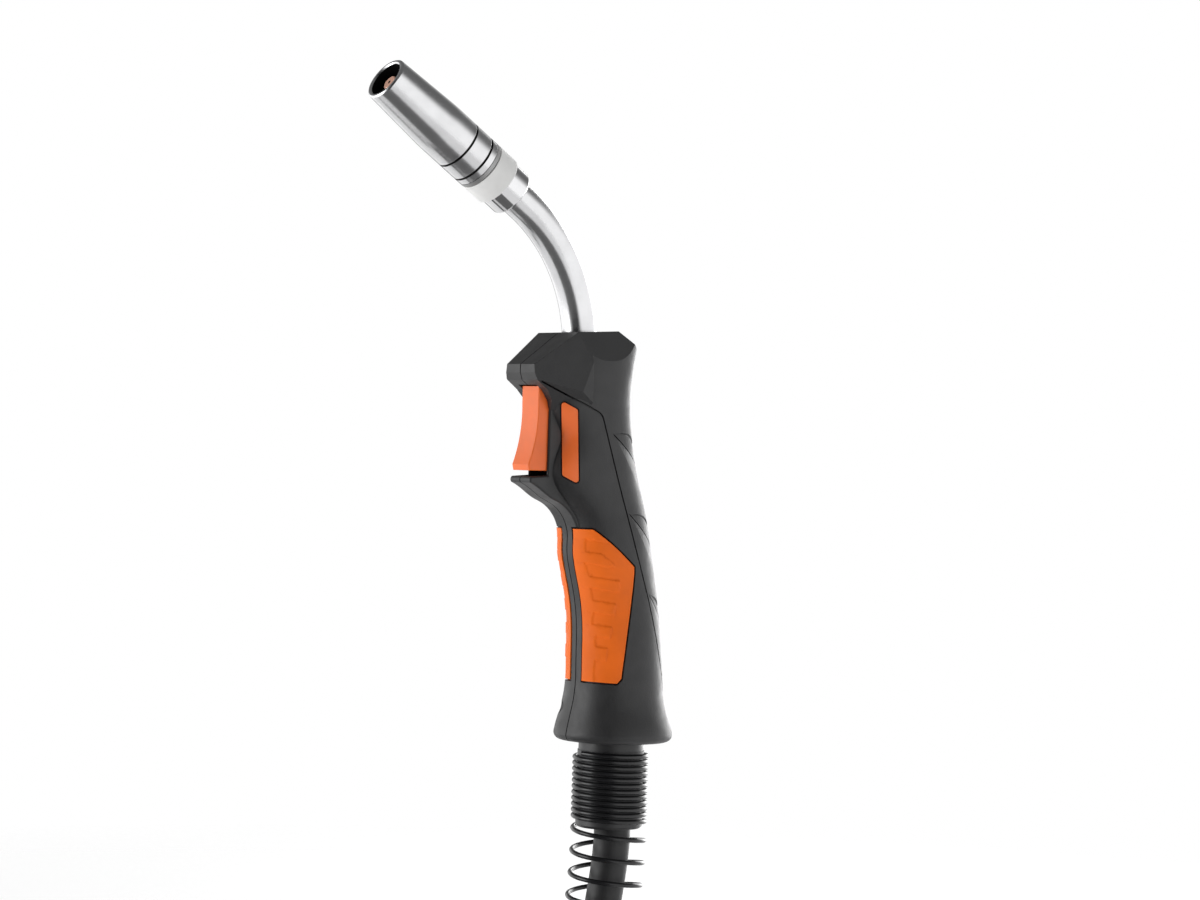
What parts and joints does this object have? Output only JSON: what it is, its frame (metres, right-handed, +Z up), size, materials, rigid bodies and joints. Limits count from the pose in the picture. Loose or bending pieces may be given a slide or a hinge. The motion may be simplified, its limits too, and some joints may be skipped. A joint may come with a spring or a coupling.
{
  "type": "mig welding torch",
  "caption": "Hand-held MIG welding torch with a swan neck, a trigger in a pistol grip, and a coiled power cable with its plug.",
  "frame": {"origin": "middle of the palm, on the line that the cable leaves the handle along", "axes": "+Z up along the grip towards the swan neck, -X forward on the trigger's side, -Y the user's left"},
  "size_m": [0.2229, 0.3444, 0.4646],
  "materials": {
    "housing": "fine-textured charcoal moulding",
    "grip_rubber": "soft orange rubber",
    "orange_plastic": "satin orange moulding",
    "satin_steel": "fine-turned satin metal",
    "bright_steel": "polished",
    "white_insulator": "white fibre-filled plastic",
    "brass": "machined brass",
    "copper": "machined copper alloy",
    "spring_black": "black coated spring wire",
    "black_plastic": "black moulding",
    "cable_rubber": "matte black sheath",
    "liner_plastic": "natural plastic tube",
    "fastener_steel": "blackened steel",
    "switch_red": "red plunger"
  },
  "bodies": {
    "handle": {"left_shell": "housing", "right_shell": "housing", "left_cover": "housing", "right_cover": "housing", "left_grip_pad": "grip_rubber", "right_grip_pad": "grip_rubber", "left_side_plate": "orange_plastic", "right_side_plate": "orange_plastic", "housing_screws": "fastener_steel", "trigger_pin": "fastener_steel", "microswitch": "black_plastic", "switch_leads": "cable_rubber", "insulator_ring": "white_insulator", "neck_collar": "bright_steel", "gas_diffuser": "brass", "contact_tip": "copper", "nozzle_spring": "bright_steel", "swan_neck": "satin_steel", "inner_conduit": "brass", "wire_liner": "liner_plastic", "neck_coupling": "brass", "cable_inner": "cable_rubber", "cable_lead": "cable_rubber", "cable_coil": "cable_rubber", "plug_boot": "cable_rubber", "plug_housing": "black_plastic", "plug_block": "brass", "power_tube": "brass", "plug_o_ring": "cable_rubber", "liner_nut": "brass"},
    "trigger": {"trigger": "orange_plastic"},
    "plunger": {"switch_plunger": "switch_red"},
    "nozzle": {"gas_nozzle": "satin_steel"},
    "swivel": {"cable_support": "black_plastic", "support_spring": "spring_black", "cable_neck": "cable_rubber"},
    "plug_nut": {"plug_nut": "black_plastic"},
    "contact_pin_left": {"contact_pin_left": "bright_steel"},
    "contact_pin_right": {"contact_pin_right": "bright_steel"}
  },
  "joints": [
    {"name": "nozzle_slide", "type": "slide", "parent": "handle", "child": "nozzle", "axis": [-0.8387, 0, 0.5446], "range_m": [0, 0.06]},
    {"name": "trigger_pivot", "type": "hinge", "parent": "handle", "child": "trigger", "pos_m": [-0.0415, 0, 0.0843], "axis": [0, -1, 0], "range_deg": [0, 6], "stiffness_Nm_per_rad": 0.5, "springref_deg": -5.73},
    {"name": "plunger_slide", "type": "slide", "parent": "handle", "child": "plunger", "axis": [1, 0, 0], "range_m": [0, 0.00115]},
    {"name": "ball_swivel", "type": "hinge", "parent": "handle", "child": "swivel", "pos_m": [0, 0, -0.035], "axis": [0, 1, 0], "range_deg": [-10, 10], "deforming": ["cable_inner", "cable_lead"]},
    {"name": "nut_spin", "type": "hinge", "parent": "handle", "child": "plug_nut", "pos_m": [-0.1748, 0.2918, -0.2275], "axis": [0, 1, 0], "continuous": true},
    {"name": "contact_left_slide", "type": "slide", "parent": "handle", "child": "contact_pin_left", "axis": [0, -1, 0], "range_m": [0, 0.003], "stiffness_N_per_m": 800, "springref_m": -0.002},
    {"name": "contact_right_slide", "type": "slide", "parent": "handle", "child": "contact_pin_right", "axis": [0, -1, 0], "range_m": [0, 0.003], "stiffness_N_per_m": 800, "springref_m": -0.002}
  ],
  "couplings": [
    {"joint": "plunger_slide", "follows": "trigger_pivot", "m_per_rad": 0.01}
  ]
}
